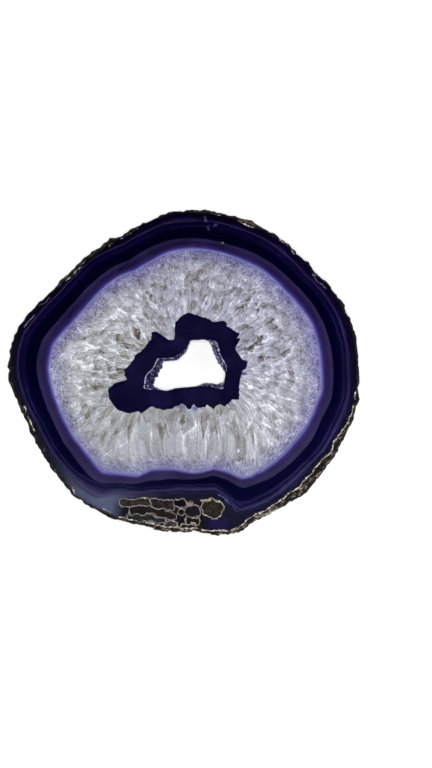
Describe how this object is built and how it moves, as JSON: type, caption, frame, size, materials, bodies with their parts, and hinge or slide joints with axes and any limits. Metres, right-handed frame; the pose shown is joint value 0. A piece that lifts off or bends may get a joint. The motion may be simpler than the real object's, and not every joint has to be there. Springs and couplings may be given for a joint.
{
  "type": "geode slice",
  "caption": "Thin slab sawn from a purple banded agate nodule, with white quartz inside and a crystal-lined open hollow.",
  "frame": {"origin": "middle of the slice's outline, on the plane of its back face, which it lies on", "axes": "+Z out of the polished front face, +X to the right and +Y to the top edge as the front is seen"},
  "size_m": [0.1304, 0.1208, 0.0065],
  "materials": {
    "polished_agate": "sawn and polished, dyed purple, white quartz inside",
    "weathered_rind": "natural, rough and pitted",
    "druzy_quartz": "natural crystal faces, dyed violet"
  },
  "bodies": {
    "root": {"slice": "polished_agate", "druzy_crust": "druzy_quartz"}
  },
  "joints": []
}
